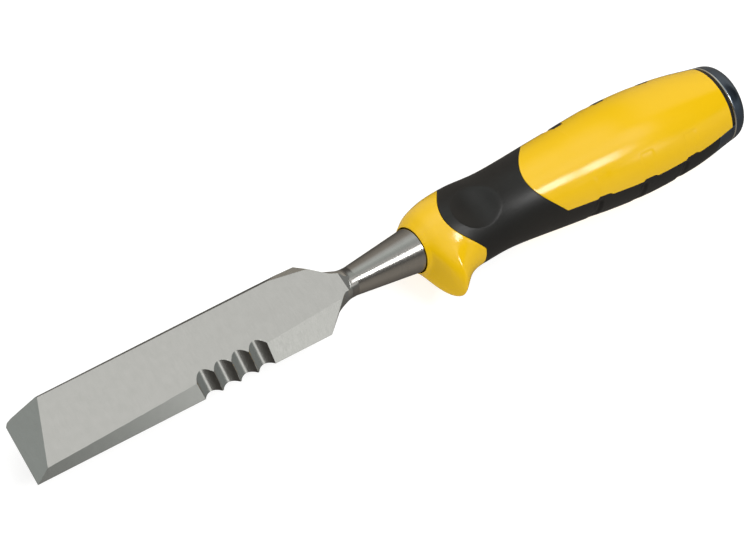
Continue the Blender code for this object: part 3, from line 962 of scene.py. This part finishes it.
start_x = {side: strip_start(side) for side in (1, -1)}
strip_at_start = {side: strip_angles(np.array(start_x[side]), side, -SEAM) for side in (1, -1)}
upper = np.linspace(strip_at_start[1][-1], strip_at_start[-1][0], FRONT_COLUMNS)
lower = np.linspace(strip_at_start[-1][-1], strip_at_start[1][0] + TURN, FRONT_COLUMNS)
around = np.concatenate([strip_at_start[1][:-1], upper[:-1], strip_at_start[-1][:-1], lower[:-1]])
front_x = meet(collar_line, lambda x: around + 0 * x, *COLLAR_SEARCH) + SEAM
back_x = meet(panel_line, lambda x: around + 0 * x, *PANEL_SEARCH) - SEAM
strip = len(CROWD)
back_x[: strip] = start_x[1]
back_x[strip + FRONT_COLUMNS - 2 : 2 * strip + FRONT_COLUMNS - 2] = start_x[-1]
rows = positions(front_x, back_x, 120)
sheets = [(skin(rows, around[None]), True)]
for side in (1, -1):
    x = positions(np.array([start_x[side]]), np.array([TAB_START_X - TAB_GAP]), 240)
    sheets.append((skin(x, strip_angles(x[:, 0], side, -SEAM)), False))
grip = shell("grip", sheets, WALL, RIM_ROUND, RUBBER)

# %% [markdown]
# ## Panels
# The core shows again as an upper and a lower panel. Each follows the strips' edges, bumps included, with a
# hair of room on every side.

# %% Panels
across = close_steps(110, (0.0, 0.0015, 0.004, 0.007))
panels = []
for sign, name in ((1, "upper_panel"), (-1, "lower_panel")):

    def panel_angles(x):
        spine, sharp = panel_edge(x, 1, SEAM), panel_edge(x, -1, SEAM)
        return spine + (math.pi - spine - sharp) * across

    first_x = meet(panel_line, panel_angles, *PANEL_SEARCH) + SEAM
    x = positions(first_x, np.full_like(first_x, PANEL_END_X - PANEL_GAP), 200)
    panels.append(shell(name, [(skin(x, sign * panel_angles(x)), False)], WALL, RIM_ROUND, YELLOW))

# %% [markdown]
# ## Strike cap
# The cap is a short domed cup with a tab down each side strip. Its front rim is chamfered, which
# catches the long lamp. The end face closes with rings that shrink to a point.

# %% Strike cap
CAP_CHAMFER, CAP_FRONT_R = 0.00028, 0.014
strip_part = {side: strip_angles(np.array(RING_X), side, -2 * SEAM) for side in (1, -1)}
upper = np.linspace(strip_part[1][-1], strip_part[-1][0], FRONT_COLUMNS)
lower = np.linspace(strip_part[-1][-1], strip_part[1][0] + TURN, FRONT_COLUMNS)
around = np.concatenate([strip_part[1][:-1], upper[:-1], strip_part[-1][:-1], lower[:-1]])
ring_x = profile[profile[:, 0] > RING_X + 0.0005][::4, 0]
rim_x = RING_X + np.array([0.0, 0.00005, 0.0001, 0.0002, 0.0003, 0.0004])
ring_x = np.concatenate([rim_x, ring_x, [CAP_END_X]])
ring = skin(ring_x[:, None], around[None])
axis = np.stack([ring_x, centre_y(ring_x), np.full_like(ring_x, AXIS_Z)], axis=-1)[:, None]
sunk = CAP_CHAMFER * np.clip(1 - (ring_x - RING_X) / RIM_WIDTH, 0.0, 1.0)[:, None, None]
ring = ring - (ring - axis) * sunk / CAP_FRONT_R
centre = np.array([CAP_END_X, float(centre_y(CAP_END_X)), AXIS_Z])
disc = [centre + (ring[-1] - centre) * share for share in (0.98, 0.93, 0.85, 0.7, 0.5, 0.3, 0.1, 0.0)]
sheets = [(np.concatenate([ring, disc]), True)]
for side in (1, -1):
    x = positions(np.array([TAB_START_X + TAB_GAP]), np.array([RING_X]), 30)
    sheets.append((skin(x, strip_angles(x[:, 0], side, -2 * SEAM)), False))
cap = shell("cap", sheets, 0.002, 0.00035, BLACK_STEEL)

# %% [markdown]
# Between panels and cap there is a dark line about a millimetre wide, where rubber shows lower down. It is a
# narrow ring just inside the skin, and it also keeps light from passing through the gap.

# %% Lip under the cap's front edge
LIP_SHARE = 0.965
lip_x = np.array([0.2835, 0.2845, 0.2855, 0.2865, 0.2875])
lip_angles = np.linspace(0, TURN, 160, endpoint=False)
lip_points = skin(lip_x[:, None], lip_angles[None])
middle = np.stack([lip_x, centre_y(lip_x), np.full_like(lip_x, AXIS_Z)], axis=-1)[:, None]
lip_points = middle + (lip_points - middle) * LIP_SHARE
lip = shell("lip", [(lip_points, True)], 0.0006, 0.0001, RUBBER)

# %% [markdown]
# ## Into the frame
# Each piece is shifted from tool axes to the frame, rides the one rigid body, and stands in for the node
# that it details.

# %% Hand the pieces to the frame
for piece, node, slot in (
    (blade, "blade", "blade_steel"),
    (collar, "handle_core", "yellow_plastic"),
    (panels[0], "handle_core", "yellow_plastic"),
    (panels[1], "handle_core", "yellow_plastic"),
    (grip, "grip_sleeve", "black_rubber"),
    (lip, "grip_sleeve", "black_rubber"),
    (cap, "strike_cap", "black_oxide_steel"),
):
    piece.data.transform(Matrix.Translation(TO_FRAME))
    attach(piece, "root")
    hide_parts(node)
